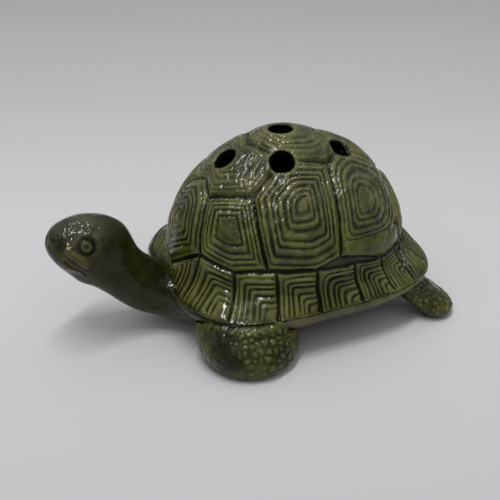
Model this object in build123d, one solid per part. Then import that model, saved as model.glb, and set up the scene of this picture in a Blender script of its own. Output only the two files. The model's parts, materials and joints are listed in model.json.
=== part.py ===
from build123d import *
import math
import os

# Hollow glazed earthenware turtle with stem holes in its shell.
# Millimetres, head towards -Y, the turtle's left side towards +X, +Z up.
# The model is drawn about the middle of the shell, then moved to its bounding box's bottom centre.

# Dome of the shell
dome_half_width = 49.6
dome_half_length = 58.7
dome_base_z = 26.0
dome_rise = 62.7
crown_forward = 5.0
dome_side_power = 2.234
dome_crown_power = 1.387
dome_steps = 13
crown_cut_share = 0.992
profile_step_share = 0.004
halvings = 40

# Flared rim of the shell, squarer in plan than the dome
rim_flare = 4.6
rim_lip_z = 23.4
rim_flare_top_z = 40.0
rim_flare_power = 3.0
rim_square_power = 3.3
dome_round_power = 2.0
rim_steps = 5
outline_points = 24

# Wall of the castings
wall = 4.0
cut_overrun = 2.0

# Stem holes: one at the crown and a ring of five round it
stem_hole_radius = 5.5
stem_hole_rounding = 1.0
stem_ring_half_length = 28.3
stem_ring_half_width = 19.0
stem_ring_middle_y = -3.5
stem_ring_count = 5

# Grooves between the scutes of the shell, cut along planes through a focus on the midline
seam_focus_z = 20.0
seam_width = 1.8
seam_depth = 1.5
seam_hole_margin = 2.0

# Belly plate: its flat middle lies inside the dome's outline and a little forward
belly_z = 7.5
belly_side_inset = 18.6
belly_end_inset = 17.7
belly_forward = 6.0
belly_power = 1.8
belly_steps = 5

# Neck and head: how far ahead of the dome and how high each section's middle is
neck_root_ahead = -12.7
neck_root_z = 18.5
neck_root_half_width = 24.0
neck_root_half_height = 8.5
neck_mouth_ahead = -0.7
neck_mouth_z = 17.5
neck_mouth_half_width = 24.0
neck_mouth_half_height = 14.0
neck_bend_ahead = 11.8
neck_bend_z = 20.5
neck_bend_radius = 12.6
neck_middle_ahead = 19.8
neck_middle_z = 28.5
neck_middle_radius = 12.0
nape_ahead = 25.3
nape_z = 35.6
nape_half_width = 12.4
nape_half_height = 12.3
throat_ahead = 30.8
throat_z = 42.5
throat_half_width = 13.2
throat_half_height = 15.8
skull_ahead = 37.8
skull_z = 47.5
skull_half_width = 13.8
skull_half_height = 15.2
brow_ahead = 44.8
brow_z = 50.5
brow_half_width = 12.0
brow_half_height = 12.2
muzzle_ahead = 50.1
muzzle_z = 52.2
muzzle_half_width = 8.6
muzzle_half_height = 8.4
nose_ahead = 53.3
nose_z = 53.0
nose_radius = 4.4
snout_tip_ahead = 54.5
hollow_section_count = 7

# Eyes
eye_ahead = 39.1
eye_z = 53.9
eye_radius = 3.2
eye_stand_out = 1.3

# Front legs: broad rounded stumps, placed ahead of the dome and inside its left side
front_leg_root_inside = 20.6
front_leg_root_ahead = -26.7
front_leg_root_z = 22.0
front_leg_root_half_width = 17.0
front_leg_root_half_length = 19.0
front_leg_knee_inside = 12.6
front_leg_knee_ahead = -21.7
front_leg_knee_z = 13.0
front_leg_knee_half_width = 23.0
front_leg_knee_half_length = 22.8
front_foot_inside = 10.8
front_foot_ahead = -22.2
front_foot_half_width = 22.6
front_foot_half_length = 21.8
front_foot_height = 3.6

# Hind legs, cast solid, placed behind the dome and inside its left side
hind_leg_root_inside = 18.6
hind_leg_root_behind = -17.7
hind_leg_root_z = 22.0
hind_leg_root_half_width = 12.5
hind_leg_root_half_length = 12.5
hind_leg_knee_inside = 11.0
hind_leg_knee_behind = -8.5
hind_leg_knee_z = 12.0
hind_leg_knee_half_width = 10.6
hind_leg_knee_half_length = 10.8
hind_foot_inside = 6.1
hind_foot_behind = -0.7
hind_foot_half_width = 9.6
hind_foot_half_length = 9.4
hind_foot_height = 3.2

# Edge of every sole
sole_rounding = 2.4

# Tail
tail_root_behind = -12.7
tail_root_z = 15.5
tail_root_half_width = 8.5
tail_root_half_height = 6.0
tail_tip_behind = 10.3
tail_tip_z = 7.0
tail_tip_radius = 1.8

# Narrow vents that let the air of the hollow limbs out into the body
vent_radius = 1.8

# Corners of the scutes on the left half, in degrees from the focus: azimuth from the head, elevation
NUCHAL_CORNER = (0, 9.5)
V1_TOP_CORNER = (0, 50.5)
V1_SIDE_CORNER = (12.6, 45.5)
V2_REAR_CORNER = (0, 71.4)
V3_REAR_CORNER = (180, 81.5)
V4_REAR_CORNER = (180, 41)
C1_FRONT_CORNER = (21, 23.3)
C1_TOP_CORNER = (40.8, 52.6)
C1_REAR_CORNER = (55.1, 23.9)
C2_TOP_CORNER = (55.8, 70.1)
C2_REAR_CORNER = (94.5, 27.9)
C3_TOP_CORNER = (110.9, 68.9)
C3_CROWN_CORNER = (150, 68.9)
C3_SHOULDER_CORNER = (167.8, 44.7)
C3_WAIST_CORNER = (143.9, 27.7)

# Seams of the scutes on the back, each from corner to corner
SCUTE_SEAMS = [
    (V1_TOP_CORNER, V1_SIDE_CORNER), (V1_SIDE_CORNER, C1_FRONT_CORNER), (V1_SIDE_CORNER, C1_TOP_CORNER),
    (C1_TOP_CORNER, C1_REAR_CORNER), (C1_TOP_CORNER, C2_TOP_CORNER), (V2_REAR_CORNER, C2_TOP_CORNER),
    (C2_TOP_CORNER, C3_TOP_CORNER), (C3_TOP_CORNER, C2_REAR_CORNER), (C3_TOP_CORNER, C3_CROWN_CORNER),
    (V3_REAR_CORNER, C3_CROWN_CORNER), (C3_CROWN_CORNER, C3_SHOULDER_CORNER),
    (C3_SHOULDER_CORNER, C3_WAIST_CORNER), (C3_SHOULDER_CORNER, V4_REAR_CORNER),
]

# Tops and feet of the seams between the rim's scutes, from the one over the neck to the rear
RIM_SEAM_TOPS = [
    (20.6, 22.6), (39, 20.7), (59.5, 23), (80.7, 23.4), (103.6, 22.1), (123.7, 17.8), (141, 15.8),
    (152.5, 15), (164, 14.6), (173.5, 14.5),
]
RIM_SEAM_FEET = [
    (19.5, 6.8), (42.1, 4.9), (61.7, 3.9), (81, 4), (103.5, 4.5), (121, 5.1), (133.4, 5.8),
    (148, 5.4), (162, 4.9), (172.5, 4.7),
]
RIM_REAR_CORNER = (180, 14.5)

# Short seams from the back's scutes down to the rim's
DROP_SEAMS = [
    (C1_FRONT_CORNER, RIM_SEAM_TOPS[0]), (C1_REAR_CORNER, RIM_SEAM_TOPS[2]),
    (C2_REAR_CORNER, RIM_SEAM_TOPS[4]), (C3_WAIST_CORNER, RIM_SEAM_TOPS[6]),
]

os.makedirs("parts", exist_ok=True)


def ahead(distance):
    """Where along the length a point lies that is a distance in front of the dome."""
    return -dome_half_length - distance


def behind(distance):
    """Where along the length a point lies that is a distance behind the dome."""
    return dome_half_length + distance


def inside(distance):
    """How far to the left a point lies that is a distance inside the dome's left side."""
    return dome_half_width - distance


def level_ellipse(half_width, half_length, x, y, z):
    """A flat ellipse lying level at a height."""
    return Plane(origin=(x, y, z)) * Ellipse(half_width, half_length)


def level_outline(half_width, half_length, y, z, power):
    """A level face inside a rounded outline: an ellipse at power 2, squarer above it."""
    points = []
    for i in range(outline_points):
        turn = 2 * math.pi * i / outline_points
        across, along = math.sin(turn), -math.cos(turn)
        reach = (abs(across) ** power + abs(along) ** power) ** (-1 / power)
        points.append((half_width * reach * across, y + half_length * reach * along, z))
    return Face(Wire(Spline(*points, periodic=True)))


def facing_ellipse(half_width, half_height, y, z, pitch):
    """An ellipse across the midline whose normal points forward, raised by a pitch in degrees."""
    forward = (0, -math.cos(math.radians(pitch)), math.sin(math.radians(pitch)))
    return Plane(origin=(0, y, z), x_dir=(-1, 0, 0), z_dir=forward) * Ellipse(half_width, half_height)


def dome_share(height_share):
    """The dome's half width at a height, as a share of its half width at the base."""
    return (1 - height_share**dome_side_power) ** (1 / dome_crown_power)


def flare_share(z):
    """How far the rim has flared at a height, from 0 at its top to 1 at the lip."""
    drop_share = (rim_flare_top_z - z) / (rim_flare_top_z - rim_lip_z)
    return max(drop_share, 0) ** rim_flare_power


def shell_profile(height_share):
    """Half width, half length, middle y and height of the shell's outside, 0 at the base, 1 at the crown."""
    share = dome_share(max(height_share, 0))
    z = dome_base_z + dome_rise * height_share
    middle_y = -crown_forward * max(height_share, 0)
    flare = rim_flare * flare_share(z)
    return dome_half_width * share + flare, dome_half_length * share + flare, middle_y, z


def plan_power(z):
    """How square the shell's outline is at a height."""
    return dome_round_power + (rim_square_power - dome_round_power) * flare_share(z)


def inset_profile(height_share, inset):
    """The shell's profile moved inwards, square to the mean outline, by an inset."""
    low = shell_profile(height_share - profile_step_share)
    high = shell_profile(height_share + profile_step_share)
    out_change = (high[0] + high[1] - low[0] - low[1]) / 2
    up_change = high[3] - low[3]
    length = math.hypot(out_change, up_change)
    half_width, half_length, middle_y, z = shell_profile(height_share)
    sideways = inset * up_change / length
    upwards = inset * out_change / length
    return half_width - sideways, half_length - sideways, middle_y, z + upwards


def shell_shares():
    """Heights of the shell's sections, from the lip to the crown."""
    lip_share = (rim_lip_z - dome_base_z) / dome_rise
    flare_top_share = (rim_flare_top_z - dome_base_z) / dome_rise
    low_shares = [lip_share + (flare_top_share - lip_share) * i / rim_steps for i in range(rim_steps)]
    start = math.asin(flare_top_share)
    end = math.asin(crown_cut_share)
    high_shares = [math.sin(start + (end - start) * i / dome_steps) for i in range(dome_steps + 1)]
    return low_shares + high_shares


def shell_solid(inset, base_z):
    """The shell as a filled solid standing on a level, its outside moved inwards by an inset."""
    profiles = [inset_profile(share, inset) for share in shell_shares()]
    half_width, half_length, middle_y, z = profiles[0]
    sections = [level_outline(half_width, half_length, middle_y, base_z, plan_power(base_z))]
    sections += [level_outline(a, b, y, z, plan_power(z)) for a, b, y, z in profiles[1:]]
    return loft(sections)


def belly_solid(inset):
    """The belly plate as a filled bowl below the lip, moved inwards by an inset."""
    lip_half_width, lip_half_length, _, lip_z = shell_profile((rim_lip_z - dome_base_z) / dome_rise)
    belly_half_width = dome_half_width - belly_side_inset
    belly_half_length = dome_half_length - belly_end_inset
    sections = []
    for i in range(belly_steps + 1):
        turn = math.pi / 2 * i / belly_steps
        out_share = math.cos(turn) ** (2 / belly_power)
        down_share = math.sin(turn) ** (2 / belly_power)
        half_width = belly_half_width + (lip_half_width - belly_half_width) * out_share - inset
        half_length = belly_half_length + (lip_half_length - belly_half_length) * out_share - inset
        z = lip_z - (lip_z - belly_z - inset) * down_share
        power = dome_round_power + (rim_square_power - dome_round_power) * out_share
        sections.append(level_outline(half_width, half_length, -belly_forward * (1 - out_share), z, power))
    return loft(sections)


def crown_height(x, y):
    """Height of the dome's outside above a point, found by halving."""
    low, high = 0.0, 1.0
    for _ in range(halvings):
        middle = (low + high) / 2
        half_width, half_length, middle_y, z = shell_profile(middle)
        if (x / half_width) ** 2 + ((y - middle_y) / half_length) ** 2 < 1:
            low = middle
        else:
            high = middle
    return shell_profile(low)[3]


def crown_normal(x, y):
    """Outward direction of the dome above a point."""
    reach = stem_hole_radius
    slope_x = (crown_height(x + reach, y) - crown_height(x - reach, y)) / (2 * reach)
    slope_y = (crown_height(x, y + reach) - crown_height(x, y - reach)) / (2 * reach)
    return Vector(-slope_x, -slope_y, 1).normalized()


def stem_holes():
    """Point on the shell and outward direction of each stem hole: the crown first, then the ring."""
    mouth_z = crown_height(stem_hole_radius, -crown_forward)
    holes = [(Vector(0, -crown_forward, mouth_z), Vector(0, 0, 1))]
    for i in range(stem_ring_count):
        turn = 2 * math.pi * i / stem_ring_count
        x = stem_ring_half_width * math.sin(turn)
        y = stem_ring_middle_y - stem_ring_half_length * math.cos(turn)
        holes.append((Vector(x, y, crown_height(x, y)), crown_normal(x, y)))
    return holes


def stem_cutter(point, outward):
    """A round cutter through the wall that opens out at the shell's outside."""
    start = point - outward * (wall + cut_overrun)
    plane = Plane(origin=start, z_dir=outward)
    bore = extrude(plane * Circle(stem_hole_radius), wall + 2 * cut_overrun)
    mouth_plane = Plane(origin=point - outward * stem_hole_rounding, z_dir=outward)
    mouth = extrude(mouth_plane * Circle(stem_hole_radius), stem_hole_rounding + cut_overrun, taper=-45)
    return bore + mouth


def aim(corner):
    """Direction from the focus to a corner of the scutes."""
    azimuth, elevation = (math.radians(angle) for angle in corner)
    level = math.cos(elevation)
    return Vector(level * math.sin(azimuth), -level * math.cos(azimuth), math.sin(elevation))


def seam_plate(start, end):
    """A flat plate that crosses the shell along a seam between two corners, a little longer than it."""
    focus = Vector(0, 0, seam_focus_z)
    near = dome_half_width - 2 * wall
    far = dome_half_length + dome_rise
    along = (aim(end) - aim(start)).normalized() * (seam_width / 2 / dome_half_length)
    first = (aim(start) - along).normalized()
    last = (aim(end) + along).normalized()
    outline = Polyline(
        focus + first * near, focus + first * far, focus + last * far, focus + last * near, close=True)
    return extrude(Face(Wire(outline.edges())), seam_width / 2, both=True)


def seams():
    """Every seam of the shell's left half, from corner to corner."""
    tops = [NUCHAL_CORNER] + RIM_SEAM_TOPS + [RIM_REAR_CORNER]
    along_rim = list(zip(tops[:-1], tops[1:]))
    across_rim = list(zip(RIM_SEAM_TOPS, RIM_SEAM_FEET))
    return SCUTE_SEAMS + DROP_SEAMS + along_rim + across_rim


def grooved(outside):
    """The shell's outside with the grooves cut, which stop short of the stem holes."""
    collars = []
    for point, outward in stem_holes():
        start = point - outward * (wall + cut_overrun)
        collar = Plane(origin=start, z_dir=outward) * Circle(stem_hole_radius + seam_hole_margin)
        collars.append(extrude(collar, wall + 2 * cut_overrun))
    plates = []
    for start, end in seams():
        plate = seam_plate(start, end)
        plates += [plate, mirrored(plate)]
    bosses = outside - plates
    return bosses + shell_solid(seam_depth, rim_lip_z) + [collar & outside for collar in collars]


def limb_solid(levels):
    """A limb through level sections, each its half width, half length and middle."""
    return loft([level_ellipse(a, b, x, y, z) for a, b, x, y, z in levels])


def front_leg_levels(inset):
    """Sections of the left front leg, from the sole up, moved inwards by an inset."""
    sole_inset = inset + sole_rounding
    return [
        (front_foot_half_width - sole_inset, front_foot_half_length - sole_inset,
         inside(front_foot_inside), ahead(front_foot_ahead), inset),
        (front_foot_half_width - inset, front_foot_half_length - inset,
         inside(front_foot_inside), ahead(front_foot_ahead), inset + front_foot_height),
        (front_leg_knee_half_width - inset, front_leg_knee_half_length - inset,
         inside(front_leg_knee_inside), ahead(front_leg_knee_ahead), front_leg_knee_z),
        (front_leg_root_half_width - inset, front_leg_root_half_length - inset,
         inside(front_leg_root_inside), ahead(front_leg_root_ahead), front_leg_root_z),
    ]


def hind_leg_levels():
    """Sections of the left hind leg, from the sole up."""
    return [
        (hind_foot_half_width - sole_rounding, hind_foot_half_length - sole_rounding,
         inside(hind_foot_inside), behind(hind_foot_behind), 0),
        (hind_foot_half_width, hind_foot_half_length,
         inside(hind_foot_inside), behind(hind_foot_behind), hind_foot_height),
        (hind_leg_knee_half_width, hind_leg_knee_half_length,
         inside(hind_leg_knee_inside), behind(hind_leg_knee_behind), hind_leg_knee_z),
        (hind_leg_root_half_width, hind_leg_root_half_length,
         inside(hind_leg_root_inside), behind(hind_leg_root_behind), hind_leg_root_z),
    ]


def neck_stations():
    """Middle, half width, half height and pitch of each neck section, from the body to the crown."""
    points = [
        (ahead(neck_root_ahead), neck_root_z, neck_root_half_width, neck_root_half_height),
        (ahead(neck_mouth_ahead), neck_mouth_z, neck_mouth_half_width, neck_mouth_half_height),
        (ahead(neck_bend_ahead), neck_bend_z, neck_bend_radius, neck_bend_radius),
        (ahead(neck_middle_ahead), neck_middle_z, neck_middle_radius, neck_middle_radius),
        (ahead(nape_ahead), nape_z, nape_half_width, nape_half_height),
        (ahead(throat_ahead), throat_z, throat_half_width, throat_half_height),
        (ahead(skull_ahead), skull_z, skull_half_width, skull_half_height),
        (ahead(brow_ahead), brow_z, brow_half_width, brow_half_height),
        (ahead(muzzle_ahead), muzzle_z, muzzle_half_width, muzzle_half_height),
        (ahead(nose_ahead), nose_z, nose_radius, nose_radius),
    ]
    stations = []
    for i, (y, z, half_width, half_height) in enumerate(points):
        before = points[max(i - 1, 0)]
        after = points[min(i + 1, len(points) - 1)]
        pitch = math.degrees(math.atan2(after[1] - before[1], before[0] - after[0]))
        stations.append((half_width, half_height, y, z, pitch))
    return stations


def neck_outside():
    """The head and neck as a filled solid that runs into the body."""
    sections = [facing_ellipse(*station) for station in neck_stations()]
    return loft(sections + [Vertex(0, ahead(snout_tip_ahead), nose_z)])


def neck_inside():
    """The hollow of the head and neck."""
    hollow = neck_stations()[:hollow_section_count]
    return loft([facing_ellipse(a - wall, b - wall, y, z, pitch) for a, b, y, z, pitch in hollow])


def eye_solid(side):
    """One eyeball, on the left for side 1 and on the right for side -1."""
    height_share = (eye_z - skull_z) / skull_half_height
    x = (skull_half_width + brow_half_width) / 2 * math.sqrt(1 - height_share**2)
    centre_x = x - eye_radius + eye_stand_out
    return Pos(side * centre_x, ahead(eye_ahead), eye_z) * Sphere(eye_radius)


def tail_solid():
    """The tail as a tapering solid that runs into the body."""
    root = Plane(origin=(0, behind(tail_root_behind), tail_root_z), x_dir=(1, 0, 0), z_dir=(0, 1, 0))
    tip = Plane(origin=(0, behind(tail_tip_behind), tail_tip_z), x_dir=(1, 0, 0), z_dir=(0, 1, 0))
    return loft([root * Ellipse(tail_root_half_width, tail_root_half_height), tip * Circle(tail_tip_radius)])


def vent(start, end):
    """A round vent between two points."""
    run = end - start
    return extrude(Plane(origin=start, z_dir=run.normalized()) * Circle(vent_radius), run.length)


def mirrored(shape):
    """The same shape on the turtle's other side."""
    return mirror(shape, about=Plane.YZ)


# Outside and hollow of the two body castings
shell_outside = shell_solid(0, rim_lip_z)
belly_outside = belly_solid(0)
body_outside = shell_outside + belly_outside
shell_hollow = shell_solid(wall, rim_lip_z - cut_overrun)
belly_hollow = belly_solid(wall)

# Limbs
neck = neck_outside()
front_leg_outside = limb_solid(front_leg_levels(0))
front_leg_hollow = limb_solid(front_leg_levels(wall))
hind_leg = limb_solid(hind_leg_levels())
head_and_neck = neck + eye_solid(1) + eye_solid(-1) - body_outside - neck_inside()
tail = tail_solid() - body_outside

# Vents from each hollow limb into the body
neck_vent = vent(Vector(0, ahead(neck_mouth_ahead), neck_mouth_z), Vector(0, 0, neck_mouth_z))
front_vent = vent(
    Vector(inside(front_leg_knee_inside), ahead(front_leg_knee_ahead), front_leg_knee_z),
    Vector(0, 0, front_leg_root_z))
vents = [neck_vent, front_vent, mirrored(front_vent)]

carapace = grooved(shell_outside) - shell_hollow
for point, outward in stem_holes():
    carapace -= stem_cutter(point, outward)
plastron = belly_outside - belly_hollow
for hole in vents:
    carapace -= hole
    plastron -= hole

nodes = {
    "carapace": carapace,
    "plastron": plastron,
    "head_and_neck": head_and_neck,
    "front_left_leg": front_leg_outside - body_outside - neck - front_leg_hollow,
    "front_right_leg": mirrored(front_leg_outside) - body_outside - neck - mirrored(front_leg_hollow),
    "hind_left_leg": hind_leg - body_outside,
    "hind_right_leg": mirrored(hind_leg) - body_outside,
    "tail": tail,
}

# Origin at the middle of the bounding box's bottom
boxes = [shape.bounding_box() for shape in nodes.values()]
low_y = min(box.min.Y for box in boxes)
high_y = max(box.max.Y for box in boxes)
to_origin = Pos(0, -(low_y + high_y) / 2, -min(box.min.Z for box in boxes))
for name, shape in nodes.items():
    export_step(to_origin * shape, "parts/" + name + ".step")

print("moved by", to_origin.position)
for point, outward in stem_holes():
    seat = to_origin * Pos(point)
    print("stem hole", seat.position, outward)
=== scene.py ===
"""Looks of a glazed ceramic turtle with stem holes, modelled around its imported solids."""

import json
import math

import bmesh
import bpy
import numpy as np
from mathutils import Matrix, Vector


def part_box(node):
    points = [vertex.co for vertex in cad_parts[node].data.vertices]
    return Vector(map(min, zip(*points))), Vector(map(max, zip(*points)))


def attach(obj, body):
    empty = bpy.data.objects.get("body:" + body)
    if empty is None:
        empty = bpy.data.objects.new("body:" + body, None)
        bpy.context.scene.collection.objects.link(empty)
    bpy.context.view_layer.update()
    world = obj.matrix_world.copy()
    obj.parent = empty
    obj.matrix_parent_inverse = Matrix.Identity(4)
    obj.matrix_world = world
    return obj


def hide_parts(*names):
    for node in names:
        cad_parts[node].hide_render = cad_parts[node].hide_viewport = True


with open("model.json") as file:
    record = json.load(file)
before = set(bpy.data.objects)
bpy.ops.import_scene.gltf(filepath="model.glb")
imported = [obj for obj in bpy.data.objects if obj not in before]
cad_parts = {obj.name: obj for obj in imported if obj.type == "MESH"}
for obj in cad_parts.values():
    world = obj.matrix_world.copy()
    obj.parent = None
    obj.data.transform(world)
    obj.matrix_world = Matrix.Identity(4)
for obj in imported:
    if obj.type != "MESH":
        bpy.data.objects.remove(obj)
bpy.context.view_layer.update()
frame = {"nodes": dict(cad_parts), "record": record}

MM = 0.001

# A distance beyond everything
FAR = 1e9

# Sizes taken from the frame
SHELL_LOW, SHELL_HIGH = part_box("carapace")
SHELL_MIDDLE_Y = (SHELL_LOW.y + SHELL_HIGH.y) / 2
HEAD_LOW, HEAD_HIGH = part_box("head_and_neck")
MOUNTS = {mount["name"]: mount for mount in frame["record"]["mounts"]}
STEM_HOLES = [mount for name, mount in sorted(MOUNTS.items()) if name.endswith("stem_hole")]
HOLE_RADIUS = STEM_HOLES[0]["dims"]["r_mm"]

# Point under the dome that the scutes are laid out from
FOCUS_DROP = 3.4 * MM
FOCUS = np.array((0.0, SHELL_MIDDLE_Y, SHELL_LOW.z - FOCUS_DROP))

# Camera: where the photograph was taken from
CAMERA_TARGET = Vector((-29.97 * MM, SHELL_MIDDLE_Y - 7.22 * MM, 7.6 * MM))
CAMERA_DISTANCE = 398.27 * MM
CAMERA_AZIMUTH = 67.49
CAMERA_ELEVATION = 31.53
CAMERA_LENS = 54.07
SENSOR_WIDTH = 36
CLIP_START = 0.01
CLIP_END = 50


def direction(azimuth, elevation):
    """Unit vector: azimuth 0 looks out over the head, 90 over the left side."""
    a, e = math.radians(azimuth), math.radians(elevation)
    return np.array((math.sin(a) * math.cos(e), -math.cos(a) * math.cos(e), math.sin(e)))


def smoothstep(low, high, value):
    """0 below low, 1 above high, smooth between."""
    t = np.clip((value - low) / (high - low), 0, 1)
    return t * t * (3 - 2 * t)


def bell(distance, width):
    """1 at no distance, fading over a width."""
    return np.exp(-(distance / width) ** 2)


def soft_minimum(values, softness):
    """Least of several arrays, with its corners rounded."""
    values = np.stack(values)
    least = values.min(axis=0)
    return least - softness * np.log(np.exp(-(values - least) / softness).sum(axis=0))


# Whole numbers that scatter a cell's place and seed, and how many values a cell can take
CELL_FACTORS = (73856093, 19349663, 83492791)
SEED_FACTOR = 2654435761
SCRAMBLE_FACTOR = 1274126177
SCRAMBLE_SHIFT = 13
LAST_SHIFT = 16
LOW_BITS = 0xFFFFFFFF
CELL_VALUES = 65536


def cell_value(cell, seed):
    """A steady random value from -1 to 1 for each whole-numbered cell, the same on every run."""
    x, y, z = (cell * np.array(CELL_FACTORS)).T
    h = x ^ y ^ z ^ (seed * SEED_FACTOR)
    h = (h ^ (h >> SCRAMBLE_SHIFT)) * SCRAMBLE_FACTOR & LOW_BITS
    return (h ^ (h >> LAST_SHIFT)) % CELL_VALUES / (CELL_VALUES / 2) - 1


def lattice_noise(points, size, seed):
    """Smooth noise from -1 to 1 at points, with cells of a size."""
    p = points / size
    cell = np.floor(p).astype(np.int64)
    f = p - cell
    f = f * f * (3 - 2 * f)
    total = np.zeros(len(points))
    for corner in range(8):
        step = np.array((corner & 1, corner >> 1 & 1, corner >> 2 & 1))
        weight = np.prod(np.where(step, f, 1 - f), axis=1)
        total += cell_value(cell + step, seed) * weight
    return total


def layered_noise(points, layers):
    """Sum of smooth noises, each given as its amount, cell size and seed."""
    return sum(amount * lattice_noise(points, size, seed) for amount, size, seed in layers)


# How far one round of smoothing moves a point towards its neighbours' mean, as shares
SHRINK_SHARE = 0.5
SWELL_SHARE = -0.51
MELT_SHARE = 0.8
BLUR_SHARE = 0.6
BLUR_ROUNDS = 24


class Clay:
    """A mesh of even quads whose points are moved with numpy before it becomes a piece."""

    def __init__(self, name, node_name, voxel, borrowed=None):
        """Takes a node's solid, with any borrowed volume added, as quads of a size in millimetres."""
        bm = bmesh.new()
        bm.from_mesh(frame["nodes"][node_name].data)
        if borrowed:
            borrowed(bm)
        rough = bpy.data.meshes.new(name + "_rough")
        bm.to_mesh(rough)
        bm.free()
        helper = bpy.data.objects.new(name + "_rough", rough)
        bpy.context.scene.collection.objects.link(helper)
        remesh = helper.modifiers.new("remesh", "REMESH")
        remesh.mode = "VOXEL"
        remesh.voxel_size = voxel * MM
        graph = bpy.context.evaluated_depsgraph_get()
        self.mesh = bpy.data.meshes.new_from_object(helper.evaluated_get(graph))
        self.mesh.name = name
        bpy.data.objects.remove(helper)
        bpy.data.meshes.remove(rough)
        self.name = name
        self.node_name = node_name
        count = len(self.mesh.vertices)
        flat = np.empty(count * 3, np.float32)
        self.mesh.vertices.foreach_get("co", flat)
        self.co = flat.reshape(-1, 3).astype(float)
        pairs = np.empty(len(self.mesh.edges) * 2, np.int32)
        self.mesh.edges.foreach_get("vertices", pairs)
        self.edges = pairs.reshape(-1, 2)
        self.valence = np.bincount(self.edges.ravel(), minlength=count)

    def neighbour_mean(self, values):
        """Mean of each point's neighbours."""
        a, b = self.edges.T
        count = len(values)
        columns = []
        for column in values.T:
            columns.append(np.bincount(a, column[b], count) + np.bincount(b, column[a], count))
        return np.stack(columns, axis=1) / self.valence[:, None]

    def relax(self, rounds):
        """Smooths the surface without shrinking it."""
        for _ in range(rounds):
            for share in (SHRINK_SHARE, SWELL_SHARE):
                self.co += (self.neighbour_mean(self.co) - self.co) * share

    def soften(self, rounds, weight):
        """Melts the surface where the weight is over 0, as thick glaze would."""
        for _ in range(rounds):
            self.co += (self.neighbour_mean(self.co) - self.co) * (MELT_SHARE * weight)[:, None]

    def normals(self):
        """Outward direction at each point."""
        self.mesh.vertices.foreach_set("co", self.co.astype(np.float32).ravel())
        self.mesh.update()
        flat = np.empty(len(self.co) * 3, np.float32)
        self.mesh.vertex_normals.foreach_get("vector", flat)
        return flat.reshape(-1, 3).astype(float)

    def glaze_share(self, depth):
        """How thin the glaze lies: 0 in pools that are a depth below their surroundings, 1 on crests."""
        blurred = self.co.copy()
        for _ in range(BLUR_ROUNDS):
            blurred += (self.neighbour_mean(blurred) - blurred) * BLUR_SHARE
        height = ((self.co - blurred) * self.normals()).sum(axis=1)
        return np.clip(0.5 + 0.5 * height / (depth * MM), 0, 1)

    def finish(self, material, glaze_and_painted_light, ripple):
        """Turns the clay into a piece that stands for its node, with its glaze's share and painted light, and
        its ripple.
        """
        for name, values in (("glaze_and_painted_light", glaze_and_painted_light), ("ripple", ripple)):
            attribute = self.mesh.attributes.new(name, "FLOAT", "POINT")
            attribute.data.foreach_set("value", values.astype(np.float32))
        self.normals()
        self.mesh.shade_smooth()
        piece = bpy.data.objects.new(self.name, self.mesh)
        bpy.context.scene.collection.objects.link(piece)
        self.mesh.materials.clear()
        self.mesh.materials.append(material)
        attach(piece, "root")
        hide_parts(self.node_name)


# Corners of the shell's scutes on its left half, as directions (azimuth, elevation) from the focus.
# The shell is folded about its midline, so a scute on the midline has no edge there.
NUCHAL = (0, 9.5)
V1_TOP = (0, 50.5)
V1_SIDE = (12.6, 45.5)
C1_FRONT = (21, 23.3)
C1_LOW = (39, 20.7)
C1_REAR = (55.1, 23.9)
C1_TOP = (40.8, 52.6)
V2_REAR = (0, 71.4)
C2_TOP = (55.8, 70.1)
C2_LOW = (79.9, 23.7)
C2_REAR = (94.5, 27.9)
C3_TOP = (110.9, 68.9)
V3_REAR = (180, 81.5)
C3_CROWN = (150, 68.9)
C3_SHOULDER = (167.8, 44.7)
C3_WAIST = (143.9, 27.7)
C3_REAR = (141, 16.1)
C3_FOOT = (123.7, 17.8)
C4_REAR = (160, 14.8)
V4_REAR = (180, 41)
V5_LOW = (180, 14.5)

# The third costal scute has two overlapping parts: the rings stop above its plain foot
C3_RING_FRONT = (98.5, 31.2)
C3_RING_REAR = (133.5, 25.2)
C3_FOOT_TOP_FRONT = (98.5, 37)
C3_FOOT_TOP_REAR = (133.5, 31)

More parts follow.
